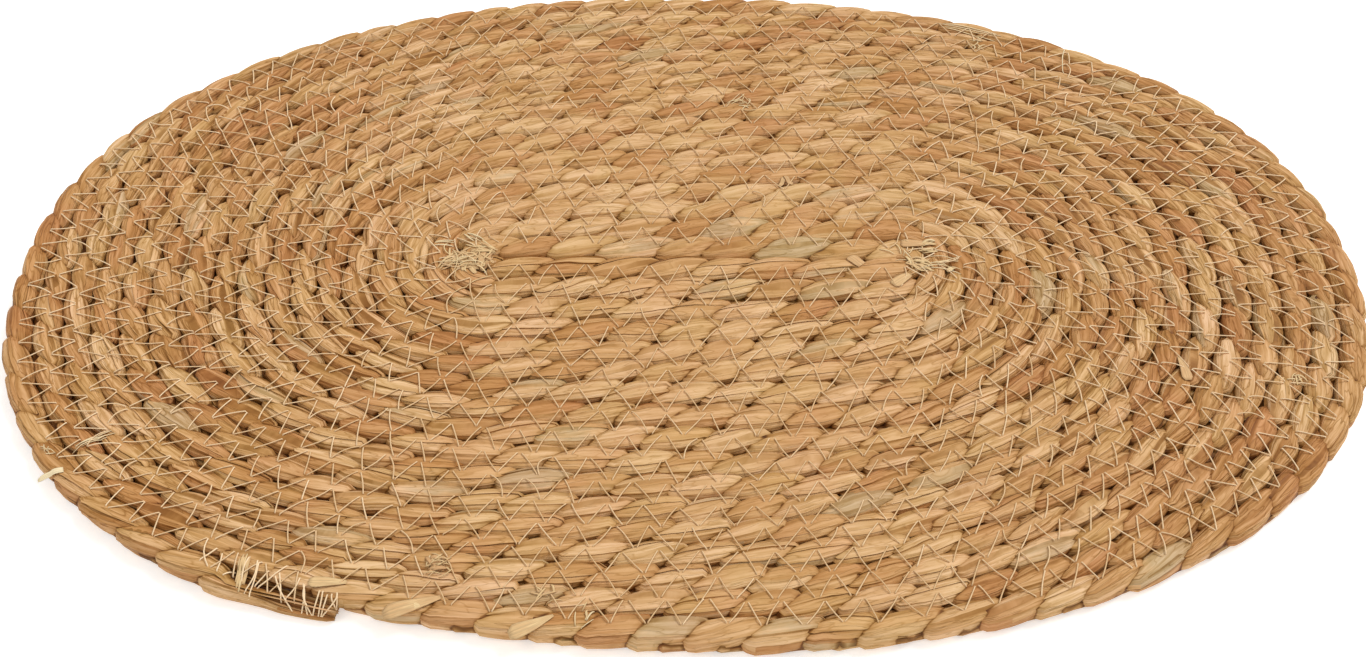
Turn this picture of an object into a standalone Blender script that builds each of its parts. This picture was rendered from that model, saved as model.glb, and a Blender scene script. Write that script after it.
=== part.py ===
"""Oval placemat: one long three-strand plait of dried rush, wound flat around a straight core and sewn turn to turn.

The mat is one closed solid. Each turn of the coil is a raised rib above and below, with a valley where it meets
its neighbour, and the plait's slanting lobes are raised along the top. The ribs' undersides are level lands that
lie on the table. Metres, +Z up, +X along the mat, origin at the bottom centre of its box.
"""
import math

import bmesh
import bpy
import numpy as np

# The mat's outline and the plait that fills it
MAT_LENGTH = 0.480
MAT_WIDTH = 0.330
TURNS = 17
CORE_HALF = 0.074
OUTLINE_POWER = 2.22
PITCH = MAT_WIDTH / 2 / TURNS
HALF_WIDTH = MAT_WIDTH / 2
HALF_LENGTH = MAT_LENGTH / 2 - PITCH / 4

# Where the coil begins and ends, in laps from the near middle, counter-clockwise seen from above
FIRST_OFFSET = 0.25
STRAIGHT_SHARE = 0.20
START_LAP = -STRAIGHT_SHARE / 2
END_LAP = 16.879
TAIL_LENGTH = 0.036
TAIL_WIDTH = 0.45
TAIL_DROP = 0.35

# How far the turns are from evenly spaced: wider near the core across the mat, closer at its ends
MIDDLE_EASE = 0.10
END_EASE = -0.06
WANDER = 0.07

# Heights of the plait's section, and places across it in pitches from its centre line
LOBE_SPACING = 0.0176
LOBE_SLANT = 0.0095
CROWN_TOP = 0.0082
CREASE_DROP = 0.0013
CROWN_NOISE = 0.00025
VALLEY_TOP = 0.0048
VALLEY_BASE = 0.0014
RIM_MIDDLE = 0.0040
SHOULDER_TOP = 0.0068
SHOULDER_BASE = 0.0010
SHOULDER_ACROSS = 0.38
LAND_ACROSS = 0.24
RIM_ACROSS = (0.50, 0.46)

# How closely the points follow the coil: more of them where it bends tightly round the core's ends
CENTRE_SAMPLES = 40001
BASE_STEP = 0.021
BASE_STEP_LEAST = 0.003
BASE_BEND_STEP = 0.42
CROWN_BEND_STEP = 0.5
TIGHT_RADIUS = 5 * PITCH
SLANT_FROM_LAP = 3.0
SLANT_OVER_LAPS = 4.0
TAIL_MARGIN = 0.003
CORE_POINTS_TOP = 11
CORE_POINTS_BASE = 8
SEED = 11

# Colour and finish of the dried rush
RUSH_COLOUR = (0.55, 0.33, 0.15, 1.0)
RUSH_ROUGHNESS = 0.72


def clear_scene():
    """Remove every object."""
    for thing in list(bpy.data.objects):
        bpy.data.objects.remove(thing, do_unlink=True)


def rays(laps):
    """Core points and outward directions of the rays that these places on the coil lie on."""
    place = np.asarray(laps, float) % 1.0
    half = STRAIGHT_SHARE / 2
    bend = 0.5 - STRAIGHT_SHARE
    knots = [0.0, half, half + bend, 1 - half - bend, 1 - half, 1.0]
    core_x = np.interp(place, knots, [0, CORE_HALF, CORE_HALF, -CORE_HALF, -CORE_HALF, 0])
    angle = np.interp(place, knots, [-90.0, -90.0, 90.0, 90.0, 270.0, 270.0])
    angle = np.radians(angle)
    return core_x, np.cos(angle), np.sin(angle)


def rim_distance(core_x, along, across):
    """Distance along each ray from the core to the mat's outline, by halving."""
    low = np.zeros_like(core_x)
    high = np.full_like(core_x, MAT_LENGTH)
    for _ in range(40):
        middle = (low + high) / 2
        x = np.abs(core_x + middle * along) / HALF_LENGTH
        y = np.abs(middle * across) / HALF_WIDTH
        outside = x ** OUTLINE_POWER + y ** OUTLINE_POWER > 1
        high = np.where(outside, middle, high)
        low = np.where(outside, low, middle)
    return (low + high) / 2


def coil_points(laps, across):
    """X and Y of places on the coil, across pitches outward from the plait's centre line."""
    laps = np.asarray(laps, float)
    core_x, along, outward = rays(laps)
    turn = FIRST_OFFSET + laps + across
    turn = turn + WANDER * np.sin(4 * math.pi * laps + 0.8 * turn) * np.clip(turn / 4, 0, 1)
    share = turn / TURNS
    ease = MIDDLE_EASE * outward ** 2 + END_EASE * along ** 2
    distance = rim_distance(core_x, along, outward) * (share + ease * share * (1 - share))
    return np.stack([core_x + distance * along, distance * outward], axis=-1)


class Coil:
    """The plait's centre line, as a table of laps and lengths."""

    def __init__(self):
        self.laps = np.linspace(START_LAP, END_LAP, CENTRE_SAMPLES)
        points = coil_points(self.laps, 0.0)
        steps = np.linalg.norm(np.diff(points, axis=0), axis=1)
        self.lengths = np.concatenate([[0.0], np.cumsum(steps)])
        self.total = float(self.lengths[-1])

    def lap_at(self, length):
        return float(np.interp(length, self.lengths, self.laps))

    def length_at(self, lap):
        return float(np.interp(lap, self.laps, self.lengths))


def bend_radius(lap):
    """Radius of the coil at a lap, or the mat's length where it runs straight."""
    place = lap % 1.0
    half = STRAIGHT_SHARE / 2
    straight = min(place, 1 - place) < half or abs(place - 0.5) < half
    return MAT_LENGTH if straight else max(FIRST_OFFSET + lap, 0.5) * PITCH


class Mat:
    """Collects the mat's points and faces. A line is a list of (point, length along the coil)."""

    def __init__(self, coil):
        self.coil = coil
        self.mesh = bmesh.new()
        self.noise = np.random.default_rng(SEED)

    def tail(self, lap):
        """How wide and high the plait still is, 1 but for the tapered end."""
        left = self.coil.total - self.coil.length_at(lap)
        share = min(max(left / TAIL_LENGTH, 0.0), 1.0)
        return TAIL_WIDTH + (1 - TAIL_WIDTH) * share, 1 - TAIL_DROP * (1 - share)

    def point(self, lap, across, height):
        wide, high = self.tail(lap)
        x, y = coil_points(lap, -0.5 + wide * (across + 0.5))
        return self.mesh.verts.new((x, y, height * high))

    def triangle(self, *corners):
        if len(set(corners)) == 3:
            self.mesh.faces.new(corners)

    def zip(self, inner, outer):
        """Join two lines by triangles, each step on the line whose next point comes first."""
        i = 0
        j = 0
        while i < len(inner) - 1 or j < len(outer) - 1:
            next_inner = inner[i + 1][1] if i < len(inner) - 1 else math.inf
            next_outer = outer[j + 1][1] if j < len(outer) - 1 else math.inf
            if next_inner < next_outer:
                self.triangle(inner[i][0], outer[j][0], inner[i + 1][0])
                i += 1
            else:
                self.triangle(inner[i][0], outer[j][0], outer[j + 1][0])
                j += 1


def crown_stations(coil):
    """Lengths and heights of the crown's points: a crease, then a peak, with more points round tight bends."""
    lobes = round(coil.total / LOBE_SPACING)
    half = coil.total / lobes / 2
    stations = []
    for k in range(2 * lobes):
        parts = math.ceil(half / (CROWN_BEND_STEP * bend_radius(coil.lap_at((k + 0.5) * half))))
        for part in range(parts):
            rise = part / parts if k % 2 == 0 else 1 - part / parts
            stations.append(((k + part / parts) * half, rise))
    stations.append((coil.total, 0.0))
    return stations


def base_stations(coil):
    """Lengths of the underside's points, closer together round tight bends."""
    radii = np.array([bend_radius(lap) for lap in coil.laps])
    steps = np.clip(BASE_BEND_STEP * radii, BASE_STEP_LEAST, BASE_STEP)
    counted = np.concatenate([[0.0], np.cumsum(np.diff(coil.lengths) / steps[1:])])
    places = np.linspace(0.0, counted[-1], math.ceil(counted[-1]) + 1)
    return [float(length) for length in np.interp(places, counted, coil.lengths)]


def slant_at(lap):
    """How far along the coil a crease reaches on each side of the crown, less near the core's tight bends."""
    return LOBE_SLANT * min(max((lap - SLANT_FROM_LAP) / SLANT_OVER_LAPS, 0.0), 1.0)


def core_line(mat, height, count):
    """The valley along the core, left to right, between the first strip and the one that comes back beside it."""
    laps = np.linspace(START_LAP, -START_LAP, count)
    points = [mat.point(lap, -0.5, height) for lap in laps]
    coil = mat.coil
    there = [(point, coil.length_at(lap)) for point, lap in zip(points, laps)]
    back = [(point, coil.length_at(0.5 - lap)) for point, lap in zip(points, laps)]
    return there + back[::-1][1:]


def inner_line(mat, core, start, valleys, slant):
    """The line that bounds each strip on its core side: the core's valley, the plait's start, then the last lap."""
    coil = mat.coil
    line = list(core)
    first = coil.length_at(1 - STRAIGHT_SHARE * 1.5)
    last = coil.length_at(1 + START_LAP)
    for i, point in enumerate(start):
        line.append((point, first + (last - first) * (i + 1) / (len(start) + 1)))
    for point, lap in valleys:
        length = coil.length_at(lap + 1) - (slant_at(lap + 1) if slant else 0.0)
        line.append((point, max(length, line[-1][1] + 1e-6)))
    return line


def top_surface(mat, rim):
    """Crown, valleys and upper shoulder. rim is the outermost line, which the underside shares."""
    coil = mat.coil
    last_lap = END_LAP - 1
    crown = []
    valleys = []
    outer = []
    for length, rise in crown_stations(coil):
        lap = coil.lap_at(length)
        noise = CROWN_NOISE * float(mat.noise.uniform(-1, 1)) * rise
        crown.append((mat.point(lap, 0.0, CROWN_TOP - CREASE_DROP * (1 - rise) + noise), length))
        edge_lap = coil.lap_at(max(length - slant_at(lap), 0.0))
        if edge_lap < last_lap - TAIL_MARGIN and (rise == 0 or bend_radius(lap) < TIGHT_RADIUS):
            point = mat.point(edge_lap, 0.5, VALLEY_TOP)
            valleys.append((point, edge_lap))
            outer.append((point, length))
    valleys.append((rim[0][0], last_lap))
    shoulder = shoulder_line(mat, rim, SHOULDER_TOP, 1)
    outer += [(point, min(length + LOBE_SLANT, coil.total)) for point, length in shoulder]
    core = core_line(mat, VALLEY_TOP, CORE_POINTS_TOP)
    mat.zip(inner_line(mat, core, [crown[0][0]], valleys, True), crown)
    mat.zip(crown, outer)
    mat.zip(shoulder, rim)
    return crown[-1][0]


def base_surface(mat, rim):
    """Level lands that lie on the table, the shallow valleys between them and the lower shoulder."""
    coil = mat.coil
    last_lap = END_LAP - 1
    lands = ([], [])
    valleys = []
    outer = []
    for length in base_stations(coil):
        lap = coil.lap_at(length)
        lands[0].append((mat.point(lap, -LAND_ACROSS, 0.0), length))
        lands[1].append((mat.point(lap, LAND_ACROSS, 0.0), length))
        if lap < last_lap - TAIL_MARGIN:
            point = mat.point(lap, 0.5, VALLEY_BASE)
            valleys.append((point, lap))
            outer.append((point, length))
    valleys.append((rim[0][0], last_lap))
    shoulder = shoulder_line(mat, rim, SHOULDER_BASE, 2)
    core = core_line(mat, VALLEY_BASE, CORE_POINTS_BASE)
    starts = [lands[0][0][0], lands[1][0][0]]
    mat.zip(inner_line(mat, core, starts, valleys, False), lands[0])
    mat.zip(lands[0], lands[1])
    mat.zip(lands[1], outer + shoulder)
    mat.zip(shoulder, rim)
    return lands[0][-1][0], lands[1][-1][0]


def shoulder_line(mat, rim, height, step):
    """A line just inside the rim, which meets it at both ends of the outermost lap."""
    line = [rim[0]]
    for _, length in rim[1:-1:step]:
        line.append((mat.point(mat.coil.lap_at(length), SHOULDER_ACROSS, height), length))
    return line + [rim[-1]]


def rim_line(mat):
    """The outermost lap's edge at mid height, drawn in a little between the plait's lobes."""
    coil = mat.coil
    start = coil.length_at(END_LAP - 1)
    count = 2 * round((coil.total - start) / LOBE_SPACING)
    line = []
    for i in range(count + 1):
        length = start + (coil.total - start) * i / count
        line.append((mat.point(coil.lap_at(length), RIM_ACROSS[i % 2], RIM_MIDDLE), length))
    return line


def close_tail(mat, rim, crown_end, land_ends):
    """The small end face where the tapered plait stops."""
    mat.triangle(rim[0][0], crown_end, land_ends[0])
    mat.triangle(crown_end, land_ends[1], land_ends[0])
    mat.triangle(crown_end, rim[-1][0], land_ends[1])


def rush_material():
    """Dried rush: golden tan, dull."""
    material = bpy.data.materials.new("dried_rush")
    material.use_nodes = True
    shader = material.node_tree.nodes["Principled BSDF"]
    shader.inputs["Base Color"].default_value = RUSH_COLOUR
    shader.inputs["Roughness"].default_value = RUSH_ROUGHNESS
    shader.inputs["Metallic"].default_value = 0.0
    return material


def build_mat(collection):
    """Make the mat's solid, with its box centred on the origin."""
    mat = Mat(Coil())
    rim = rim_line(mat)
    crown_end = top_surface(mat, rim)
    land_ends = base_surface(mat, rim)
    close_tail(mat, rim, crown_end, land_ends)
    corners = np.array([point.co[:] for point in mat.mesh.verts])
    middle = (corners.min(axis=0) + corners.max(axis=0)) / 2
    for point in mat.mesh.verts:
        point.co.x -= middle[0]
        point.co.y -= middle[1]
    bmesh.ops.recalc_face_normals(mat.mesh, faces=mat.mesh.faces)
    data = bpy.data.meshes.new("coiled_plait")
    mat.mesh.to_mesh(data)
    mat.mesh.free()
    data.materials.append(rush_material())
    thing = bpy.data.objects.new("coiled_plait", data)
    collection.objects.link(thing)


def main():
    clear_scene()
    collection = bpy.data.collections.new("placemat")
    bpy.context.scene.collection.children.link(collection)
    build_mat(collection)


main()
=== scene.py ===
"""Oval placemat of plaited rush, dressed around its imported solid.

One long three-strand plait of dried rush leaves is wound flat around a straight core. A straw-coloured thread
sews each turn to the next with a zigzag. Metres, +Z up, +X along the mat, the table at z = 0.
"""

import math
from functools import partial

import bpy
import numpy as np
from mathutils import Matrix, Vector
from mathutils.kdtree import KDTree


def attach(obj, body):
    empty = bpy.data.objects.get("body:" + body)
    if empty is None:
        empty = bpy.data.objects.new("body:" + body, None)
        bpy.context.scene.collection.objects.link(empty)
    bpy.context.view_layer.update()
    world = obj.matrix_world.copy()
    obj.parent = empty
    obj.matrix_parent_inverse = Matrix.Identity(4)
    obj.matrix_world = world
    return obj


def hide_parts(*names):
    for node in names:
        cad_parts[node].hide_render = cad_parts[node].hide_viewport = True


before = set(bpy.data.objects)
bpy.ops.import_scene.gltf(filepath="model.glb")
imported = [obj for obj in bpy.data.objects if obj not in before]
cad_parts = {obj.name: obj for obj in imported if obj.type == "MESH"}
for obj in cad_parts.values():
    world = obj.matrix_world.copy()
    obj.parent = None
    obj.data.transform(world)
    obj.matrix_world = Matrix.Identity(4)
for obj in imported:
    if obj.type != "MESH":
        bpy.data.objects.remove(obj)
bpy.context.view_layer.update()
NODE = "coiled_plait"
TAU = 2 * math.pi

bl_info = {
    "name": "Rush Placemat",
    "version": (1, 0, 0),
    "blender": (4, 5, 0),
    "location": "3D Viewport > Sidebar > Placemat",
    "description": "Builds an oval placemat of coiled, plaited rush, its zigzag sewing and frays, and stage",
    "category": "Add Mesh",
}


def length_prop(name, text, default):
    return bpy.props.FloatProperty(name=name, description=text, default=default, unit="LENGTH", precision=5)


def colour_prop(name, text, default):
    return bpy.props.StringProperty(name=name, description=text, default=default, maxlen=7)


class CoilSizes(bpy.types.PropertyGroup):
    """The oval and the coil that fills it, the same sizes as the solid's."""

    mat_length: length_prop("Mat length", "Length of the oval", 0.480)
    mat_width: length_prop("Mat width", "Width of the oval", 0.330)
    core_half: length_prop("Half core", "Half the length of the straight core", 0.074)
    turns: bpy.props.IntProperty(name="Turns", description="Turns from the core to the rim", default=17)
    outline_power: bpy.props.FloatProperty(
        name="Outline power", description="2 is an ellipse, higher is squarer", default=2.22
    )
    end_lap: bpy.props.FloatProperty(
        name="End lap", description="Laps at which the plait's tail stops", default=16.879
    )
    tail_length: length_prop("Tail length", "How far the plait tapers before it stops", 0.036)


class PlaitSizes(bpy.types.PropertyGroup):
    """The three-strand plait."""

    lobe_spacing: length_prop("Lobe spacing", "From one lobe to the next near the core", 0.0187)
    rim_lobe_spacing: length_prop("Rim lobe spacing", "From one lobe to the next at the rim", 0.0168)
    middle_height: length_prop("Middle height", "Height of the plait's middle above the table", 0.0042)
    top_height: length_prop("Top height", "Height of the lobes' tops above the table", 0.0083)
    rise: length_prop("Rise", "How far a strand climbs above the plait's middle near the core", 0.00195)
    rim_rise: length_prop("Rim rise", "The same at the rim, where the lobes are longer", 0.00165)
    sway: length_prop("Sway", "How far a strand swings to each side", 0.001638)
    lobe_half_width: length_prop("Lobe half width", "Half the width of a strand on top of the plait", 0.0050)
    end_lobe_half_width: length_prop("End lobe half width", "The same round the mat's ends", 0.0053)
    inner_half_width: length_prop("Inner half width", "Half the width of a strand inside the plait", 0.0034)
    end_inner_half_width: length_prop("End inner half width", "The same round the mat's ends", 0.0030)
    inner_half_height: length_prop("Inner half height", "Half the height of a strand inside it", 0.0029)
    lean: length_prop("Lean", "How far a strand's outer edge stands over its inner one on top", 0.00032)
    leaf_step: length_prop("Leaf step", "How far one leaf's edge stands over the next", 0.00030)


class ThreadSizes(bpy.types.PropertyGroup):
    """The sewing thread and its zigzag."""

    diameter: length_prop("Thread diameter", "Thickness of the sewing thread", 0.00050)
    stitch: length_prop("Stitch", "Length of one zigzag where the seam runs straight", 0.0117)
    end_stitch: length_prop("End stitch", "Length of one zigzag round the mat's ends", 0.0095)
    reach: bpy.props.FloatProperty(
        name="Reach", description="How far a zigzag's corners lie from the seam, in turns", default=0.445
    )


class Colours(bpy.types.PropertyGroup):
    """Colours as sRGB hex values."""

    straw: colour_prop("Straw", "Palest leaves", "#D9B184")
    tan: colour_prop("Tan", "Most leaves", "#CC9F6C")
    brown: colour_prop("Brown", "Orange-brown leaves", "#BA8450")
    grey: colour_prop("Grey", "Leaves that dried greyer", "#C2A37B")
    # Tint of all painted shade on the rush, and of its dark fibres: the darker, the browner
    crease_shade: colour_prop("Crease", "What a crease between leaves does to their colour", "#9E8453")
    # The thread's colour runs from its shade to this by its own paleness and by painted highlights
    thread: colour_prop("Thread", "Palest parts of the sewing thread", "#F4D8B0")
    thread_shade: colour_prop("Thread shade", "Duller parts of the sewing thread", "#D3AD7B")
    fray: colour_prop("Fray", "Torn leaf fibre", "#E3C38E")
    fray_light: colour_prop("Pale fray", "Bleached leaf fibre", "#F2DEB4")
    floor: colour_prop("Floor", "Studio floor", "#F4F3F1")
    floor_shade: colour_prop("Floor shade", "Duller grain of the studio floor", "#F0EFED")


PROPERTY_GROUPS = (CoilSizes, PlaitSizes, ThreadSizes, Colours)
PROPERTY_NAMES = ("mat_coil", "mat_plait", "mat_thread", "mat_colours")


def linear(hex_colour):
    """An sRGB hex colour as linear RGBA."""
    parts = [int(hex_colour[i : i + 2], 16) / 255 for i in (1, 3, 5)]
    return tuple(p / 12.92 if p <= 0.04045 else ((p + 0.055) / 1.055) ** 2.4 for p in parts) + (1.0,)


def blend(first, second, share):
    """From the first value to the second as the share goes from 0 to 1."""
    return first + (second - first) * share


def grow(values, start, reach):
    """0 up to start, 1 from start + reach on."""
    return np.clip((values - start) / reach, 0, 1)


def running_total(steps):
    """Running total of the steps, from 0."""
    return np.concatenate([np.zeros_like(steps[..., :1]), np.cumsum(steps, axis=-1)], axis=-1)


def run_lengths(points):
    """Length along each line of points, from its first point."""
    return running_total(np.linalg.norm(np.diff(points, axis=-2), axis=-1))


def unit(vectors):
    return vectors / np.maximum(np.linalg.norm(vectors, axis=-1, keepdims=True), 1e-9)


def rightward(plan):
    """Unit vectors to the right of vectors in plan, seen from above."""
    return unit(np.stack([plan[..., 1], -plan[..., 0]], axis=-1))


def smooth_noise(places, spacing, seed):
    """Seeded noise from -1 to 1 that changes smoothly over a spacing."""
    values = np.random.default_rng(seed).uniform(-1, 1, int(np.max(places) / spacing) + 4)
    steps = np.maximum(places, 0) / spacing
    index = np.floor(steps).astype(int)
    part = steps - index
    part = part * part * (3 - 2 * part)
    return values[index] * (1 - part) + values[index + 1] * part


def uneven(lengths, rows, number=0):
    """Sum of smooth noises. Each row: how much, over how many metres, and the seed for number 0."""
    return sum(much * smooth_noise(lengths, spacing, seed + number) for much, spacing, seed in rows)


# Where the coil begins, and how evenly its turns lie: the same rules as the solid's

FIRST_OFFSET = 0.25
STRAIGHT_SHARE = 0.20
START_LAP = -STRAIGHT_SHARE / 2
# How far the turns half way out are pushed outward, on the straights and at the ends
MIDDLE_EASE = 0.10
END_EASE = -0.06
# Turns wander in and out: by this part of a turn, this often in a lap, shifted by this angle for each turn
# outward, and fully from this turn on
WANDER = 0.07
WANDER_WAVES = 2
WANDER_LAG = 0.8
WANDER_FULL = 4
# The tail's end has this part of the plait's width, and loses this part of its height
TAIL_WIDTH = 0.45
TAIL_DROP = 0.35


class Coil:
    """Places on the coil. Laps count from the near middle, counter-clockwise. Across is outward, in turns."""

    SAMPLES = 60001
    RIM_SAMPLES = 4001
    HALVINGS = 40
    TANGENT_STEP = 0.0004

    def __init__(self, sizes):
        self.sizes = sizes
        self.pitch = sizes.mat_width / 2 / sizes.turns
        self.half_width = sizes.mat_width / 2
        self.half_length = sizes.mat_length / 2 - self.pitch / 4
        self.middle = np.zeros(2)
        rim = self.points(np.linspace(sizes.end_lap - 1, sizes.end_lap, self.RIM_SAMPLES), 0.5)
        self.middle = (rim.min(axis=0) + rim.max(axis=0)) / 2
        self.laps = np.linspace(START_LAP, sizes.end_lap, self.SAMPLES)
        self.lengths = run_lengths(self.points(self.laps, 0.0))
        self.total = float(self.lengths[-1])

    def rays(self, laps):
        """Each lap's place on the core, and the direction in which it looks out from there."""
        core = self.sizes.core_half
        half = STRAIGHT_SHARE / 2
        knots = [0.0, half, 0.5 - half, 0.5 + half, 1 - half, 1.0]
        core_x = np.interp(laps % 1.0, knots, [0, core, core, -core, -core, 0])
        angle = np.radians(np.interp(laps % 1.0, knots, [-90.0, -90.0, 90.0, 90.0, 270.0, 270.0]))
        return core_x, np.cos(angle), np.sin(angle)

    def bend(self, laps, sharpness):
        """0 where the coil runs straight, 1 round the mat's ends."""
        return np.clip(sharpness * np.abs(self.rays(laps)[1]), 0, 1)

    def rim_distance(self, core_x, along, outward):
        """How far the mat's outline lies from the core along each ray, found by halving."""
        low = np.zeros_like(core_x)
        high = np.full_like(core_x, self.sizes.mat_length)
        power = self.sizes.outline_power
        for _ in range(self.HALVINGS):
            middle = (low + high) / 2
            x = np.abs(core_x + middle * along) / self.half_length
            y = np.abs(middle * outward) / self.half_width
            outside = x**power + y**power > 1
            high = np.where(outside, middle, high)
            low = np.where(outside, low, middle)
        return (low + high) / 2

    def points(self, laps, across):
        laps = np.asarray(laps, float)
        core_x, along, outward = self.rays(laps)
        turn = FIRST_OFFSET + laps + across
        wave = np.sin(WANDER_WAVES * TAU * laps + WANDER_LAG * turn)
        turn = turn + WANDER * wave * np.clip(turn / WANDER_FULL, 0, 1)
        share = turn / self.sizes.turns
        ease = MIDDLE_EASE * outward**2 + END_EASE * along**2
        distance = self.rim_distance(core_x, along, outward) * (share + ease * share * (1 - share))
        return np.stack([core_x + distance * along, distance * outward], axis=-1) - self.middle

    def lap_at(self, lengths):
        return np.interp(lengths, self.lengths, self.laps)

    def length_at(self, laps):
        return np.interp(laps, self.laps, self.lengths)

    def frame_at(self, lengths):
        """Centre, outward direction and local width of the turn at lengths along the plait."""
        laps = self.lap_at(lengths)
        after, before = (self.lap_at(lengths + step) for step in (self.TANGENT_STEP, -self.TANGENT_STEP))
        outward = rightward(self.points(after, 0.0) - self.points(before, 0.0))
        span = self.points(laps, 0.5) - self.points(laps, -0.5)
        return self.points(laps, 0.0), outward, np.abs(np.sum(span * outward, axis=-1))


class Plait:
    """The three strands' paths and sections along the coil."""

    STRANDS = 3
    # A strand's section is a squared oval: 2 would be an ellipse
    SECTION_POWER = 3.0
    # A strand crosses the top and the underside slowly and slips back through the middle fast
    SWAY_PARTS = (1.0, 0.42, 0.22, 0.10)
    # On the underside a strand is a little broader, more so round the mat's ends and less so at the rim
    UNDER_WIDTH = 0.0006
    UNDER_END_WIDTH = 0.0003
    UNDER_RIM_WIDTH = -0.0022
    # The rim starts this many laps before the tail's end, over this part of a lap. There a strand is broader
    # inside the plait, reaches lower from its top, and swings out less, the least on the underside
    RIM_LAPS = 1.02
    RIM_BLEND = 0.03
    RIM_INNER_WIDTH = 0.0008
    RIM_DROP = 0.0015
    RIM_SWAY_LOSS = 0.2
    RIM_UNDER_SWAY_LOSS = 0.35
    # How much of its turn's width the plait fills, how much less round the ends, and fully from which lap
    TIGHT = 1.025
    END_LOOSENESS = 0.110
    LOOSE_FROM_LAP = 8
    BEND_SHARPNESS = 1.4
    # Over the tail's last stretch the strands run straight, side by side, each with its own place and end
    UNPLAITED = 0.044
    TAIL_HALF_WIDTH = 0.0019
    TAIL_HALF_HEIGHT = 0.0018
    TAIL_ENDS = (-0.0010, 0.0004, -0.0020)
    TAIL_ACROSS = (-0.0024, 0.0034, 0.0007)
    TAIL_RISE = (0.0002, -0.0011, 0.0013)
    # A cut end is round over its last stretch, down to this part of the strand, and its painted shade fades
    # over a longer one
    ROUND_LENGTH = 0.0035
    ROUND_SIZE = 0.35
    CUT_LENGTH = 0.005
    # Painted shade on the rush is strongest round the ends, less so on the near side, and a little on the far
    # side. The spans are where this starts and over how many metres, from the mat's middle
    SHADE_BEND = 0.55
    SHADE_SIDE = 0.45
    SHADE_FAR = 0.45
    LESS_SHADE_NEAR = 0.22
    SIDE_SPAN = (0.05, 0.12)
    DEPTH_SPAN = (0.02, 0.10)
    # What changes along the whole plait: how much, over how many metres, and seed
    PHASE_DRIFT = ((0.55, 0.110, 5), (0.22, 0.023, 6))
    ROLL = ((0.20, 0.090, 7),)
    LOOSER = ((0.06, 0.160, 8),)
    ACROSS_DRIFT = ((0.00022, 0.030, 40),)
    HEIGHT_DRIFT = ((0.00020, 0.050, 41),)
    # The same for each strand
    SWELL = ((0.09, 0.021, 20),)
    THICKEN = ((0.06, 0.027, 30),)
    STRAND_ACROSS = ((0.00020, 0.020, 50),)
    STRAND_HEIGHT = ((0.00018, 0.020, 60),)

    def __init__(self, coil, sizes):
        self.coil = coil
        self.sizes = sizes
        spacing = blend(sizes.lobe_spacing, sizes.rim_lobe_spacing, grow(coil.laps, 0, coil.sizes.turns))
        self.rounds = running_total(np.diff(coil.lengths) / (spacing[1:] * self.STRANDS))

    def phase(self, lengths, strand):
        """How far a strand has gone round the plait: at a quarter turn it lies on top."""
        rounds = np.interp(lengths, self.coil.lengths, self.rounds) + strand / self.STRANDS
        return TAU * rounds + uneven(lengths, self.PHASE_DRIFT)

    def tail(self, lengths):
        """How wide and how high the plait still is along its tapered tail."""
        share = grow(self.coil.total - lengths, 0, self.coil.sizes.tail_length)
        return TAIL_WIDTH + (1 - TAIL_WIDTH) * share, 1 - TAIL_DROP * (1 - share)

    def section(self, lengths, strand):
        """A strand's section: its middle across and up, its half width and half height, and its lean."""
        sizes = self.sizes
        phase = self.phase(lengths, strand)
        width = self.coil.frame_at(lengths)[2]
        spread = width / self.coil.pitch * self.tightness(lengths)
        upper = np.clip(np.sin(phase), 0, 1)
        lower = np.clip(-np.sin(phase), 0, 1)
        lobe = np.sin(phase) ** 2
        bend = self.bend(lengths)
        rim = self.rim(lengths)
        to_end = self.coil.total - lengths
        plaited = grow(to_end, 0, self.UNPLAITED) ** 2
        turn_share = grow(self.coil.lap_at(lengths), 0, self.coil.sizes.turns)
        climb = blend(sizes.rise, sizes.rim_rise, turn_share)

        inner = blend(sizes.inner_half_width, sizes.end_inner_half_width, bend) + self.RIM_INNER_WIDTH * rim
        outer = blend(sizes.lobe_half_width, sizes.end_lobe_half_width, bend)
        under = self.UNDER_WIDTH + self.UNDER_END_WIDTH * bend + self.UNDER_RIM_WIDTH * rim
        half_width = blend(inner, outer, lobe) + under * lower
        swell = 1 + uneven(lengths, self.SWELL, strand)
        half_width = blend(self.TAIL_HALF_WIDTH, half_width, plaited) * swell * spread

        half_height = blend(sizes.inner_half_height, sizes.top_height - sizes.middle_height - climb, lobe)
        thicken = 1 + uneven(lengths, self.THICKEN, strand)
        half_height = (half_height + self.RIM_DROP * rim * upper) * thicken
        half_height = blend(self.TAIL_HALF_HEIGHT, half_height, plaited)

        roll = uneven(lengths, self.ROLL)
        sway = sizes.sway * sum(part * np.sin(2 * (k + 1) * phase) for k, part in enumerate(self.SWAY_PARTS))
        sway = sway * (1 - rim * (self.RIM_SWAY_LOSS + self.RIM_UNDER_SWAY_LOSS * lower))
        rise = climb * np.sin(phase) - self.RIM_DROP * rim * upper
        sway = sway * plaited + (1 - plaited) * self.TAIL_ACROSS[strand]
        rise = rise * plaited + (1 - plaited) * self.TAIL_RISE[strand]
        across = (sway * np.cos(roll) - rise * np.sin(roll)) * spread
        across = across + uneven(lengths, self.ACROSS_DRIFT) + uneven(lengths, self.STRAND_ACROSS, strand)
        height = sway * np.sin(roll) + rise * np.cos(roll)
        height = height + uneven(lengths, self.HEIGHT_DRIFT) + uneven(lengths, self.STRAND_HEIGHT, strand)

        wide, high = self.tail(lengths)
        across = across * wide - (1 - wide) * width / 2
        middle = (sizes.middle_height + height) * high
        round_end = grow(to_end, self.TAIL_ENDS[strand], self.ROUND_LENGTH)
        round_end = blend(self.ROUND_SIZE, 1.0, np.sqrt(1 - (1 - round_end) ** 2))
        half_width = half_width * wide * round_end
        return across, middle, half_width, half_height * high * round_end, sizes.lean * upper

    def bend(self, lengths):
        """0 where the coil runs straight, 1 round the mat's ends."""
        return self.coil.bend(self.coil.lap_at(lengths), self.BEND_SHARPNESS)

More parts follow.
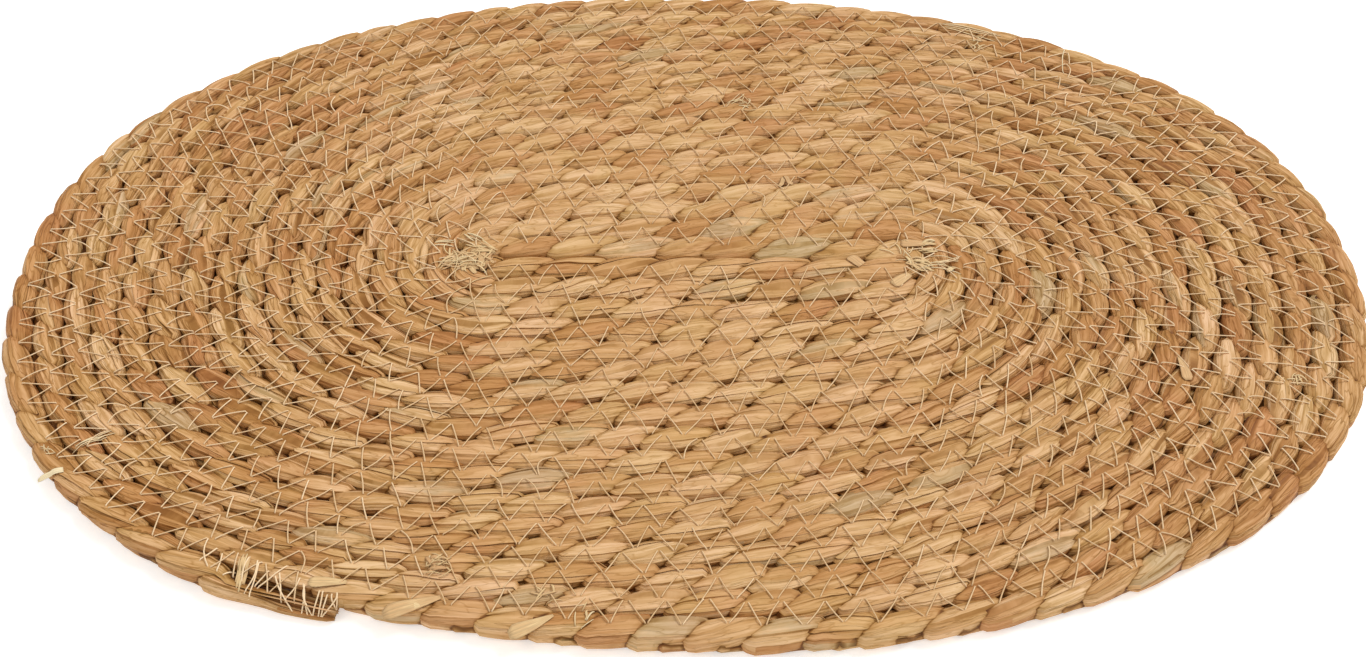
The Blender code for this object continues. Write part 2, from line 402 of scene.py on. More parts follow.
    def painted_shade(self, lengths):
        """How strong the painted shade on the rush is: most round the ends, and a little on the far side."""
        x, y = self.coil.frame_at(lengths)[0].T
        side = grow(np.abs(x), *self.SIDE_SPAN)
        near = grow(-y, *self.DEPTH_SPAN)
        far = grow(y, *self.DEPTH_SPAN)
        ends = self.SHADE_BEND * self.bend(lengths) + self.SHADE_SIDE * side
        return ends * (1 - self.LESS_SHADE_NEAR * near) + self.SHADE_FAR * (1 - side) * far

    def rim(self, lengths):
        """0 on the inner turns, 1 on the outermost one, whose outer side is free."""
        return grow(self.coil.lap_at(lengths), self.coil.sizes.end_lap - self.RIM_LAPS, self.RIM_BLEND)

    def cut_end(self, lengths):
        """1 at the plait's cut end, 0 away from it."""
        return 1 - grow(self.coil.total - lengths, 0, self.CUT_LENGTH)

    def tightness(self, lengths):
        """How much of its turn's width the plait fills: tight on the straights, looser round the ends."""
        loose = (self.END_LOOSENESS + uneven(lengths, self.LOOSER)) * self.bend(lengths)
        return self.TIGHT - loose * grow(self.coil.lap_at(lengths), 0, self.LOOSE_FROM_LAP)

    def top(self, lengths, across):
        """Height of the plait's top at places across it, in metres from its centre line."""
        height = np.zeros(np.shape(lengths))
        for strand in range(self.STRANDS):
            middle_across, middle, half_width, half_height, lean = self.section(lengths, strand)
            part = np.clip((across - middle_across) / half_width, -1, 1)
            lid = half_height * (1 - np.abs(part) ** self.SECTION_POWER) ** (1 / self.SECTION_POWER)
            height = np.maximum(height, np.where(np.abs(part) < 1, middle + lid + lean * part, 0.0))
        return height


def skin(around, along):
    """Faces and coordinates of tubes of points, closed at both ends.

    Around holds the places of a ring's points and then the full girth. Along holds the places of each tube's
    rings."""
    runs, count = along.shape
    sides = len(around) - 1
    ring = np.arange(sides)
    after = (ring + 1) % sides
    start = (np.arange(runs) * count * sides)[:, None]
    row = (start + np.arange(count - 1) * sides)[..., None]
    over = row + sides
    quads = np.stack([row + ring, row + after, over + after, over + ring], axis=-1).reshape(-1, 4)
    caps = np.concatenate([start + ring[::-1], start + (count - 1) * sides + ring])
    left, right = around[:-1], around[1:]
    low, high = along[:, :-1, None], along[:, 1:, None]
    corners = ((left, low), (right, low), (right, high), (left, high))
    corners = [np.stack(np.broadcast_arrays(*corner), axis=-1) for corner in corners]
    uv = np.stack(corners, axis=-2).reshape(-1, 2)
    return quads.tolist() + caps.tolist(), np.concatenate([uv, np.zeros((caps.size, 2))])


# Leaves round a strand: each has a raised edge, a middle and an edge tucked under the next leaf

LEAVES = 7
LEAF_PLACES = (0.0, 0.5, 0.93)
LEAF_RAISE = (1.0, 0.15, -1.0)
LEAF_WIDTH = 0.0021
RING_SPACING = 0.00245
# No point lies lower over the table
LOWEST = 0.00008
# How the leaves turn round their strand, shift over one another and stand out: how much, over how far, seed
LEAF_TWIST = ((1.1, 0.12, 70), (0.5, 0.04, 80))
LEAF_SHIFT = ((0.30, 0.033, 100),)
LEAF_STAND = 0.65
LEAF_STAND_CHANGE = ((0.65, 0.014, 200),)
SEEDS_PER_STRAND = 10
# The tail's leaves lie side by side, looser than plaited ones, and get a little more painted shade
TAIL_LOOSENESS = 1.6
TAIL_SHADE = 0.1
# Each strand's pattern starts this many girths beside the last one's
PATTERN_SHIFT = 50
DEPTH_POWER = 2.5
# Painted shade browns the rush a little, most round the ends, apart from grey leaves, whose tones lie above
# this
GREY_TONES = 0.9
SHADE_TONE = 0.22
# The tone of a strand's two end faces
END_TONE = 0.5


def strand_mesh(plait, strand, start, end):
    """One stretch of a strand: points, faces and leaf coordinates, and the numbers its material reads."""
    coil = plait.coil
    lengths = np.linspace(start, end, int((end - start) / RING_SPACING) + 1)
    across, middle, half_width, half_height, lean = (part[:, None] for part in plait.section(lengths, strand))
    centre, outward, width = coil.frame_at(lengths)
    around = LEAVES * len(LEAF_PLACES)
    twist = uneven(lengths, LEAF_TWIST, strand)
    loose = TAIL_LOOSENESS * (1 - grow(coil.total - lengths, 0, plait.UNPLAITED))
    angles = np.empty((len(lengths), around))
    raised = np.empty((len(lengths), around))
    for leaf in range(LEAVES):
        number = SEEDS_PER_STRAND * strand + leaf
        shift = uneven(lengths, LEAF_SHIFT, number)
        size = LEAF_STAND + uneven(lengths, LEAF_STAND_CHANGE, number) + loose
        for k, place in enumerate(LEAF_PLACES):
            column = leaf * len(LEAF_PLACES) + k
            angles[:, column] = (leaf + place) / LEAVES * TAU + twist + shift * (1 - place)
            raised[:, column] = plait.sizes.leaf_step * LEAF_RAISE[k] * size
    cos = np.cos(angles)
    sin = np.sin(angles)
    side, up = (np.sign(part) * np.abs(part) ** (2 / plait.SECTION_POWER) for part in (cos, sin))
    v = across + side * half_width + cos * raised
    z = np.maximum(middle + up * half_height + sin * raised + side * lean, LOWEST)
    points = np.concatenate([centre[:, None] + outward[:, None] * v[..., None], z[..., None]], axis=-1)

    # How deep each point lies in the plait and how close it is to another strand: the material paints shade
    # from both
    wide, high = (part[:, None] for part in plait.tail(lengths))
    beside = (v / width[:, None] * 2 + (1 - wide)) / wide
    above = np.abs(z / high / plait.sizes.middle_height - 1)
    depth = 1 - (np.abs(beside) ** DEPTH_POWER + above**DEPTH_POWER) ** (1 / DEPTH_POWER)
    # Painted shade fades at the cut end
    depth -= plait.cut_end(lengths)[:, None]
    crease_shade = creases(plait, strand, lengths, v, z, beside)
    leaves, place = np.divmod(np.arange(around), len(LEAF_PLACES))
    girth = LEAVES * LEAF_WIDTH
    places = np.append((leaves + np.array(LEAF_PLACES)[place]) / LEAVES * girth, girth)
    faces, uv = skin(places + strand * PATTERN_SHIFT * girth, lengths[None])
    tones = leaf_tones(plait.phase(lengths[:-1], strand), angles[:-1], leaves, strand)
    painted_shade = plait.painted_shade(lengths)
    # Painted shade: tones turn browner round the ends and a little on the far side
    tones = np.where(tones < GREY_TONES, np.maximum(tones - SHADE_TONE * painted_shade[:-1, None], 0.0), tones)
    numbers = {
        "tone": np.append(tones, [END_TONE, END_TONE]),
        "depth": depth.ravel(),
        "crease_shade": crease_shade.ravel(),
        # How strong the painted shade of folds, leaf borders and ribs is
        "shade_strength": np.repeat(np.clip(painted_shade + TAIL_SHADE * loose, 0, 1), around),
    }
    return (points.reshape(-1, 3), faces, uv), numbers


# Painted crease shade: how far it reaches from where two strands meet, in half strands, and how much fainter
# it is in the plait's middle, more so round the mat's ends
CREASE_REACH = 0.30
MIDDLE_FAINTER = 0.16
END_MIDDLE_FAINTER = 0.20
MIDDLE_HALF_WIDTH = 0.75
# Painted shade in the gap between turns, in the plait's half width: where it starts, over how much it darkens
# and how far, and how dark it is, more so at the ends
GAP_START = 0.86
GAP_REACH = 0.16
GAP_LIMIT = 1.2
GAP_DARK = 0.45
END_GAP_DARK = 0.30
CUT_FAINTER = 4
CREASE_LIMITS = (-3.0, 1.3)
FAR_AWAY = 9.0


def creases(plait, strand, lengths, v, z, beside):
    """How close each point is to where its strand meets another strand or the next turn: 1 there, less away.

    It goes on well below 0, so that it changes evenly over a face and its shade keeps a crisp edge."""
    near = np.full(v.shape, FAR_AWAY)
    for other in range(plait.STRANDS):
        if other != strand:
            section = plait.section(lengths, other)
            across, middle, half_width, half_height, lean = (part[:, None] for part in section)
            part = (v - across) / half_width
            height = (z - middle - lean * np.clip(part, -1, 1)) / half_height
            total = np.abs(part) ** plait.SECTION_POWER + np.abs(height) ** plait.SECTION_POWER
            near = np.minimum(near, total ** (1 / plait.SECTION_POWER))
    bend = plait.bend(lengths)[:, None]
    fainter = (MIDDLE_FAINTER + END_MIDDLE_FAINTER * bend) * (1 - grow(np.abs(beside), 0, MIDDLE_HALF_WIDTH))
    crease_shade = 1 - (near - 1) / CREASE_REACH - fainter
    free = (lengths > plait.coil.length_at(plait.coil.sizes.end_lap - 1))[:, None] & (beside > 0)
    gap = np.minimum((np.abs(beside) - GAP_START) / GAP_REACH, GAP_LIMIT) * (GAP_DARK + END_GAP_DARK * bend)
    crease_shade = np.maximum(crease_shade, np.where(free, CREASE_LIMITS[0], gap))
    return np.clip(crease_shade - CUT_FAINTER * plait.cut_end(lengths)[:, None], *CREASE_LIMITS)


def sharpen_leaf_edges(mesh):
    """Mark the edges that run along each leaf's two borders as sharp."""
    pairs = np.empty(2 * len(mesh.edges), np.int32)
    mesh.edges.foreach_get("vertices", pairs)
    column = pairs.reshape(-1, 2) % (LEAVES * len(LEAF_PLACES))
    along = (column[:, 0] == column[:, 1]) & (column[:, 0] % len(LEAF_PLACES) != 1)
    sharp = mesh.attributes.new("sharp_edge", "BOOLEAN", "EDGE")
    sharp.data.foreach_set("value", along)


# Tones run from brown at 0 to straw at 0.7 and grey at 1. For lobes, then for leaves: how their tones lie,
# which part of them is grey, and its tone
TONES_SEED = 300
LOBE_TONE = 0.47
LOBE_SPREAD = 0.17
LOBE_LIMITS = (0.02, 0.85)
GREY_LOBES = 0.025
GREY_LOBE_TONE = 0.99
LEAF_SPREAD = 0.13
GREY_LEAVES = 0.02
GREY_LEAF_TONE = 0.95


def leaf_tones(phase, angles, leaves, strand):
    """A tone for each face: its lobe's, changed a little for each leaf. It turns where the leaf is buried."""
    rng = np.random.default_rng(TONES_SEED + strand)
    lobes = int(phase.max() / TAU) + 4
    lobe_tone = np.clip(rng.normal(LOBE_TONE, LOBE_SPREAD, lobes), *LOBE_LIMITS)
    lobe_tone[rng.random(lobes) < GREY_LOBES] = GREY_LOBE_TONE
    leaf_tone = rng.normal(0.0, LEAF_SPREAD, (lobes, LEAVES))
    grey_leaf = rng.random((lobes, LEAVES)) < GREY_LEAVES
    index = np.floor((phase[:, None] - angles % TAU + math.pi) / TAU).astype(int) + 1
    index = np.clip(index, 0, lobes - 1)
    leaf = np.broadcast_to(leaves, index.shape)
    tone = np.clip(lobe_tone[index] + leaf_tone[index, leaf], 0.0, 1.0)
    return np.where(grey_leaf[index, leaf], GREY_LEAF_TONE, tone)


def new_piece(name, body, material, slot, uv_name, **numbers):
    """A smooth mesh piece that rides with the mat, with numbers for each of its points or faces."""
    points, faces, uv = body
    mesh = bpy.data.meshes.new(name)
    mesh.from_pydata(points.tolist(), [], faces)
    mesh.shade_smooth()
    mesh.uv_layers.new(name=uv_name).uv.foreach_set("vector", uv.astype(np.float32).ravel())
    for key, values in numbers.items():
        domain = "POINT" if len(values) == len(points) else "FACE"
        mesh.attributes.new(key, "FLOAT", domain).data.foreach_set("value", values.astype(np.float32))
    mesh.materials.append(material)
    piece = bpy.data.objects.new(name, mesh)
    bpy.context.scene.collection.objects.link(piece)
    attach(piece, "root")
    return piece


def new_material(name):
    """An empty material, and the function that adds nodes to it."""
    material = bpy.data.materials.new(name)
    material.use_nodes = True
    material.node_tree.nodes.clear()
    return material, partial(add_node, material.node_tree)


def add_node(tree, kind, inputs=(), output=0, stops=(), **settings):
    """Add a node with its settings and links, and give back one of its outputs.

    Inputs are values or sockets to link, in the node's own order or as a dict by name or number. Stops are a
    colour ramp's places, from low to high, and hex colours."""
    node = tree.nodes.new("ShaderNode" + kind)
    for key, value in settings.items():
        setattr(node, key, value)
    for key, value in inputs.items() if isinstance(inputs, dict) else enumerate(inputs):
        if isinstance(value, bpy.types.NodeSocket):
            tree.links.new(value, node.inputs[key])
        else:
            node.inputs[key].default_value = value
    for number, (place, colour) in enumerate(stops):
        elements = node.color_ramp.elements
        element = elements[number] if number < len(elements) else elements.new(place)
        element.position = place
        element.color = linear(colour)
    return node.outputs[output] if node.outputs else None


# A Mix node's colour sockets
MIX_FACTOR = 0
MIX_FIRST = 6
MIX_SECOND = 7
MIX_COLOUR = 2
MULTIPLY = {"data_type": "RGBA", "blend_type": "MULTIPLY"}


def leaf_grain(add, uv, across, along, detail):
    """Uneven grain drawn out along a leaf, with its size across and along in metres."""
    at = add("Mapping", {"Vector": uv, "Scale": (1 / across, 1 / along, 1)})
    inputs = {"Vector": at, "Scale": 1.0, "Detail": detail, "Roughness": 0.6}
    return add("TexNoise", inputs, "Fac", noise_dimensions="2D")


def rush_material(colours):
    """Dried rush leaf, flattened and plaited: a dull skin with fine ribs along it, golden with browner and
    greyer leaves, with painted shade where leaves press together."""
    material, add = new_material("Dried rush, split and plaited")
    uv = add("UVMap", uv_map="leaf")
    tone, depth, shade_strength, met = (
        add("Attribute", output="Fac", attribute_name=name) for name in ("tone", "depth", "shade_strength", "crease_shade")
    )
    # Ribs are 0.3 mm apart on a real leaf and are drawn 0.6 mm apart, so that they show
    ribs = leaf_grain(add, uv, 0.00055, 0.022, 3.0)
    streaks = leaf_grain(add, uv, 0.0015, 0.030, 2.0)
    wrinkles = leaf_grain(add, uv, 0.0022, 0.008, 2.0)
    fibres = leaf_grain(add, uv, 0.0010, 0.016, 1.0)
    blotch = leaf_grain(add, uv, 0.006, 0.013, 4.0)
    mixed = add("Math", (streaks, 0.32, tone), operation="MULTIPLY_ADD")
    mixed = add("Math", (blotch, 0.22, mixed), operation="MULTIPLY_ADD")
    mixed = add("Math", (mixed, -0.27), operation="ADD")
    base = add("ValToRGB", (mixed,), stops=(
        (0.00, colours.brown), (0.34, colours.tan), (0.68, colours.straw),
        (0.90, colours.straw), (0.97, colours.grey),
    ))
    # Thin dark lines where a streak or a fibre crosses its middle value: painted shade in the folds and the
    # leaf's own dark fibres; and painted shade along the border under the next leaf
    folds = add("Math", (streaks, 0.47), operation="SUBTRACT")
    folds = add("MapRange", (add("Math", (folds,), operation="ABSOLUTE"), 0.0, 0.020, 1.0, 0.0))
    fibre = add("Math", (fibres, 0.5), operation="SUBTRACT")
    fibre = add("MapRange", (add("Math", (fibre,), operation="ABSOLUTE"), 0.0, 0.030, 0.17, 0.0))
    border_shade = add("Math", (add("SeparateXYZ", (uv,)), 1 / LEAF_WIDTH), operation="MULTIPLY")
    border_shade = add("MapRange", (add("Math", (border_shade,), operation="FRACT"), 0.78, 0.95, 0.0, 1.0))
    border_shade = add("Math", (border_shade, add("MapRange", (blotch, 0.40, 0.60, 0.25, 1.0))), operation="MULTIPLY")
    dark = add("Math", (folds, 0.25), operation="MULTIPLY")
    dark = add("Math", (dark, add("Math", (border_shade, 0.38), operation="MULTIPLY")), operation="MAXIMUM")
    dark = add("Math", (dark, fibre), operation="MAXIMUM")
    # Painted shade in the grooves between ribs and a painted highlight on their crests
    dark = add("Math", (dark, add("MapRange", (ribs, 0.32, 0.64, 0.20, -0.06))), operation="ADD")
    # Their painted shade and the dark fibres are stronger round the ends, on the far side and on the loose
    # tail
    dark = add("Math", (dark, add("MapRange", (shade_strength, 0.0, 1.0, 0.88, 1.78))), operation="MULTIPLY")
    # Shade where strands meet, soft and crisp, and deep in the plait: from and to which value, and how dark
    for cause, low, high, most in ((met, 0.0, 1.0, 0.26), (met, 0.66, 0.96, 0.95), (depth, 0.20, 0.48, 1.5)):
        dark = add("Math", (dark, add("MapRange", (cause, low, high, 0.0, most))), operation="ADD")
    # Shade between leaves is light that has met leaf after leaf, so it turns browner as it darkens
    shade = add("Gamma", (linear(colours.crease_shade), dark))
    base = add("Mix", {MIX_FACTOR: 1.0, MIX_FIRST: base, MIX_SECOND: shade}, MIX_COLOUR, **MULTIPLY)
    # From lobe to lobe the rush dried a little pinker or a little yellower
    hue = add("MapRange", (leaf_grain(add, uv, 0.030, 0.030, 1.0), 0.30, 0.70, 0.4965, 0.5055))
    base = add("HueSaturation", {"Hue": hue, "Color": base})
    height = add("Math", (streaks, 1.5, ribs), operation="MULTIPLY_ADD")
    height = add("Math", (wrinkles, 1.0, height), operation="MULTIPLY_ADD")
    height = add("Math", (folds, -0.35, height), operation="MULTIPLY_ADD")
    shader = add("BsdfPrincipled", {
        "Base Color": base,
        "Roughness": add("MapRange", (ribs, 0.3, 0.7, 0.70, 0.54)),
        "Specular IOR Level": 0.25,
        "Normal": add("Bump", {"Strength": 0.8, "Distance": 0.00042, "Height": height}),
    })
    add("OutputMaterial", (shader,))
    return material


THREAD = "Spun sewing thread"
PLY_ANGLE = math.radians(35)
# Plies cross every 0.7 mm on real thread. This draws them 2.5 mm apart, so that they show: a wave texture's
# bands lie pi / 10 of this size apart, and here they run aslant
PLY_WAVE = 0.0045
FUZZ_LENGTH = 0.012


def thread_material(colours):
    """Spun polyester sewing thread, straw-coloured: matte and even, with a faint twist of its two plies."""
    if THREAD in bpy.data.materials:
        return bpy.data.materials[THREAD]
    material, add = new_material(THREAD)
    at = add("Mapping", {"Vector": add("UVMap", uv_map="thread"), "Rotation": (0.0, 0.0, PLY_ANGLE)})
    plies = add("TexWave", {"Vector": at, "Scale": 1 / PLY_WAVE}, "Fac", wave_type="BANDS")
    fuzz = {"Vector": at, "Scale": 1 / FUZZ_LENGTH, "Detail": 2.0}
    fuzz = add("TexNoise", fuzz, "Fac", noise_dimensions="2D")
    # Paleness changes from leg to leg, and also holds the painted highlights at the loops and round the ends
    pale = add("Math", (add("Attribute", output="Fac", attribute_name="pale"), -0.25), operation="ADD")
    tint = add("Math", (fuzz, 0.5, pale), operation="MULTIPLY_ADD")
    shades = {MIX_FACTOR: tint, MIX_FIRST: linear(colours.thread_shade), MIX_SECOND: linear(colours.thread)}
    base = add("Mix", shades, MIX_COLOUR, data_type="RGBA", blend_type="MIX")
    shade = add("MapRange", (plies, 0.0, 1.0, 0.95, 1.03))
    base = add("Mix", {MIX_FACTOR: 1.0, MIX_FIRST: base, MIX_SECOND: shade}, MIX_COLOUR, **MULTIPLY)
    shader = add("BsdfPrincipled", {
        "Base Color": base,
        "Roughness": 0.62,
        "Normal": add("Bump", {"Strength": 0.35, "Distance": 0.00005, "Height": plies}),
    })
    add("OutputMaterial", (shader,))
    return material


def fibre_material(colours):
    """Rush fibre torn loose and bleached: pale, dry and dull, with fine ribs and uneven along its length."""
    material, add = new_material("Torn rush fibre")
    uv = add("UVMap", uv_map="thread")
    # Ribs 0.4 mm apart, and grain 0.8 mm across
    ribs = leaf_grain(add, uv, 0.0004, 0.012, 2.0)
    grain = leaf_grain(add, uv, 0.0008, 0.006, 2.0)
    pale = add("Math", (add("Attribute", output="Fac", attribute_name="pale"), -0.3), operation="ADD")
    tint = add("Math", (grain, 0.6, pale), operation="MULTIPLY_ADD")
    stops = ((0.0, colours.tan), (0.5, colours.fray), (1.0, colours.fray_light))
    base = add("ValToRGB", (tint,), stops=stops)
    shade = add("MapRange", (ribs, 0.35, 0.65, 0.80, 1.03))
    base = add("Mix", {MIX_FACTOR: 1.0, MIX_FIRST: base, MIX_SECOND: shade}, MIX_COLOUR, **MULTIPLY)
    shader = add("BsdfPrincipled", {
        "Base Color": base,
        "Roughness": 0.7,
        "Normal": add("Bump", {"Strength": 0.6, "Distance": 0.00025, "Height": ribs}),
    })
    add("OutputMaterial", (shader,))
    return material


def settings():
    """The sizes and colours that the sidebar shows, group by group."""
    return [getattr(bpy.context.scene, name) for name in PROPERTY_NAMES]


def planned():
    """The plait as its sizes give it, the thread's sizes and the colours."""
    coil_sizes, plait_sizes, thread, colours = settings()
    return Plait(Coil(coil_sizes), plait_sizes), thread, colours


class PLACEMAT_OT_plait(bpy.types.Operator):
    """Wind the three-strand plait in its oval coil"""

    bl_idname = "placemat.plait"
    bl_label = "Plait"

    STRETCHES = 2

    def execute(self, context):
        plait, _, colours = planned()
        material = rush_material(colours)
        borders = np.linspace(0.0, plait.coil.total, self.STRETCHES + 1)
        for strand in range(plait.STRANDS):
            for stretch in range(self.STRETCHES):
                body, numbers = strand_mesh(plait, strand, *borders[stretch : stretch + 2])
                name = f"rush_strand_{strand + 1}_{stretch + 1}"
                piece = new_piece(name, body, material, "rush", "leaf", **numbers)
                sharpen_leaf_edges(piece.data)
                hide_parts(NODE)
        return {"FINISHED"}


# Sewing: each leg of the zigzag is a short tube from needle hole to needle hole, taut over the lobes

LEG_POINTS = 9
LEG_SIDES = 4
SEAM_SAMPLES = 40001
SEAM_SEEDS = (901, 902, 903)
SEAM_SHARPNESS = 1.3
# Round the ends a leg runs outward nearly square to the seam and comes back aslant, by this part of a leg
LEG_LAG = 0.24
# How uneven the corners are: in legs along the seam, in turns across it, and the gap between two holes
ALONG_SCATTER = 0.10
ACROSS_SCATTER = 0.035
HOLE_GAP = (0.0001, 0.0017)
HOLE_DEPTH = (0.0001, 0.0010)
# How far the thread's middle lies over the rush, in diameters
THREAD_OVER = 0.7
# Some legs are loose, more of them round the ends: they stand off the rush and bow aside more
LOOSE_LEGS = 0.06
LOOSE_END_LEGS = 0.22
LOOSE_RISE = (0.0001, 0.0008)
LEG_BOW = 0.00022
LOOSE_BOW = 0.0008
# Twist gathers in loops at the needle holes, which makes the thread thicker there; a highlight is painted on
# the loops
LOOP_POWER = 3
LOOP_THICKER = 0.25
LOOP_HIGHLIGHT = 0.3
# Thread stands clear of the rush round the ends and is drawn thicker there. Each leg has its own paleness,
# and a highlight is painted on the legs round the ends
LEG_SIZE = 0.94
END_LEG_THICKER = 0.05
LEG_PALE = 0.14
END_LEG_HIGHLIGHT = 0.42
PALE_SPREAD = 0.16


def leg_plan(coil, thread):
    """Where every leg of the seams starts and ends: laps and places across, from turn to turn and back."""
    rng = np.random.default_rng(SEAM_SEEDS[0])
    laps = np.linspace(START_LAP, coil.sizes.end_lap - 1, SEAM_SAMPLES)
    lengths = run_lengths(coil.points(laps, 0.5))
    bend = coil.bend(laps, SEAM_SHARPNESS)
    count = running_total(np.diff(lengths) / (blend(thread.stitch, thread.end_stitch, bend)[1:] / 2))
    corners = int(count[-1])
    number = np.arange(corners)
    lag = LEG_LAG * np.interp(number, count, bend) * (number % 2)
    places = np.interp(number - lag + rng.normal(0, ALONG_SCATTER, corners), count, lengths)
    gap = rng.uniform(*HOLE_GAP, corners)
    start = np.interp(places[:-1] + gap[:-1] / 2, lengths, laps)
    end = np.interp(places[1:] - gap[1:] / 2, lengths, laps)
    inner = 0.5 - thread.reach + rng.normal(0, ACROSS_SCATTER, corners)
    outer = 0.5 + thread.reach + rng.normal(0, ACROSS_SCATTER, corners)
    corner = np.where(number % 2 == 0, inner, outer)
    return start, end, corner[:-1], corner[1:]


def upper_hull(heights):
    """The lowest taut line over each row of heights."""
    count = heights.shape[1]
    hull = heights.copy()
    for i in range(1, count - 1):
        for a in range(i):
            for b in range(i + 1, count):
                line = heights[:, a] + (heights[:, b] - heights[:, a]) * (i - a) / (b - a)
                hull[:, i] = np.maximum(hull[:, i], line)
    return hull


def tubes(paths, radius, sides, flatness=1.0):
    """Points, faces and coordinates of a closed tube along each path, flattened where flatness is under 1."""
    ahead = unit(np.gradient(paths, axis=1))
    side = unit(np.cross(ahead, (0.0, 0.0, 1.0)))
    lift = np.cross(side, ahead)
    angle = (np.arange(sides) / sides * TAU)[:, None]
    size = np.broadcast_to(radius, paths.shape[:2])
    flat = np.broadcast_to(flatness, paths.shape[:2])[:, :, None, None]
    ring = side[:, :, None] * np.cos(angle) + lift[:, :, None] * np.sin(angle) * flat
    points = paths[:, :, None] + ring * size[:, :, None, None]
    around = np.arange(sides + 1) / sides * TAU * np.mean(size)
    return points.reshape(-1, 3), *skin(around, run_lengths(paths))


def seam_paths(plait, thread, start, end, first, last):
    """The taut path of each leg over the plait, dipping into the needle holes."""
    coil = plait.coil
    rng = np.random.default_rng(SEAM_SEEDS[1])
    share = 0.5 - 0.5 * np.cos(np.linspace(0, math.pi, LEG_POINTS))
    laps = start[:, None] + (end - start)[:, None] * share
    across = first[:, None] + (last - first)[:, None] * share
    # Beyond the seam a leg lies on the next turn, one lap on
    outer = across > 0.5
    lengths = coil.length_at(laps + outer)
    heights = plait.top(lengths, (across - outer) * coil.frame_at(lengths)[2])
    z = heights - rng.uniform(*HOLE_DEPTH, (len(start), 1))
    z[:, 1:-1] = upper_hull(heights[:, 1:-1]) + thread.diameter * THREAD_OVER
    bow = np.sin(share * math.pi)
    bend = coil.bend((start + end) / 2, SEAM_SHARPNESS)
    loose = rng.random(len(start)) < LOOSE_LEGS + LOOSE_END_LEGS * bend
    z += bow * np.where(loose, rng.uniform(*LOOSE_RISE, len(start)), 0.0)[:, None]
    plan = coil.points(laps, across)
    aside = rng.normal(0, LEG_BOW, len(start)) + np.where(loose, rng.normal(0, LOOSE_BOW, len(start)), 0.0)
    plan = plan + rightward(plan[:, -1] - plan[:, 0])[:, None] * (bow * aside[:, None])[..., None]
    return np.concatenate([plan, z[..., None]], axis=-1)


class PLACEMAT_OT_seams(bpy.types.Operator):
    """Sew each turn to the next with a zigzag of thread"""

    bl_idname = "placemat.seams"
    bl_label = "Zigzag seams"

    def execute(self, context):
        plait, thread, colours = planned()
        start, end, first, last = leg_plan(plait.coil, thread)
        paths = seam_paths(plait, thread, start, end, first, last)
        loop = np.abs(np.linspace(-1, 1, LEG_POINTS)) ** LOOP_POWER
        bend = plait.coil.bend((start + end) / 2, SEAM_SHARPNESS)
        size = thread.diameter / 2 * (LEG_SIZE + END_LEG_THICKER * bend)[:, None] * (1 + LOOP_THICKER * loop)
        spread = np.random.default_rng(SEAM_SEEDS[2]).normal(0, PALE_SPREAD, len(start))
        # Each leg's own paleness, with painted highlights round the mat's ends and at the loops
        pale = np.clip(LEG_PALE + END_LEG_HIGHLIGHT * bend + spread, 0, 1)
        pale = np.clip(pale[:, None] + LOOP_HIGHLIGHT * loop, 0, 1)
        body = tubes(paths, size, LEG_SIDES)
        pale = np.repeat(pale.ravel(), LEG_SIDES)
        new_piece("zigzag_seams", body, thread_material(colours), "thread", "thread", pale=pale)
        return {"FINISHED"}


# The plait's tail is bound down by long stitches, from the turn beside it over the tail

# A place across that lies beyond the tail: the stitch goes over its outer edge
OVER = 9.0
# Distance from the tail's end and place across in turns, at a stitch's start and at its end, and how far it
# is pulled sideways
TAIL_STITCHES = (
    (0.0442, -0.80, 0.0460, -0.05, 0.0002),
    (0.0419, -0.72, 0.0391, 0.03, 0.0003),
    (0.0345, -0.35, 0.0368, 0.05, 0.0),
    (0.0327, -0.99, 0.0304, 0.00, -0.0006),
    (0.0299, -0.98, 0.0281, 0.27, 0.0012),
    (0.0290, -0.95, 0.0263, 0.34, 0.0004),
    (0.0244, -0.78, 0.0263, -0.05, 0.0),
    (0.0194, -1.20, 0.0254, -0.01, 0.0006),
    (0.0217, -0.65, 0.0125, OVER, -0.0008),
    (0.0208, -0.80, 0.0166, 0.07, 0.0002),
    (0.0134, -0.85, 0.0157, 0.03, 0.0008),
    (0.0120, -0.69, 0.0097, OVER, 0.0008),
    (0.0116, -0.69, 0.0079, OVER, -0.0003),
    (0.0111, -0.69, 0.0065, OVER, -0.0014),
    (0.0056, -0.61, 0.0062, OVER, 0.0),
    (0.0046, -0.62, 0.0045, OVER, 0.0001),
    (0.0028, -0.55, 0.0037, OVER, 0.0),
    (-0.0010, -0.66, 0.0034, OVER, 0.0005),
    (0.0014, -0.57, -0.0006, -0.30, -0.0007),
    (0.0000, -0.64, -0.0008, -0.34, 0.0004),
)
# A stitch over the edge ends at this place across plus the tail's width, just beyond the edge
TAIL_EDGE = -0.455
# A stitch's least height, how far it lies over the rush in diameters, and the depth of its first hole
STITCH_LEAST_HEIGHT = 0.0028
STITCH_OVER = 0.6
FIRST_HOLE_DEPTH = 0.0009
# Where a stitch is tucked in past its last point: turns inward, and heights if it goes over the edge, or
# depths if it doesn't
TUCKS = (0.02, 0.14)
EDGE_TUCK_HEIGHTS = (0.0022, 0.0022)
TUCK_DEPTHS = (0.0006, 0.0012)


def mat_top(plait, laps, across):
    """Height of the mat's top at laps and places across in turns, which may reach over the turn inside."""
    inner = across < -0.5
    lengths = plait.coil.length_at(laps - inner)
    return plait.top(lengths, (across + inner) * plait.coil.frame_at(lengths)[2])


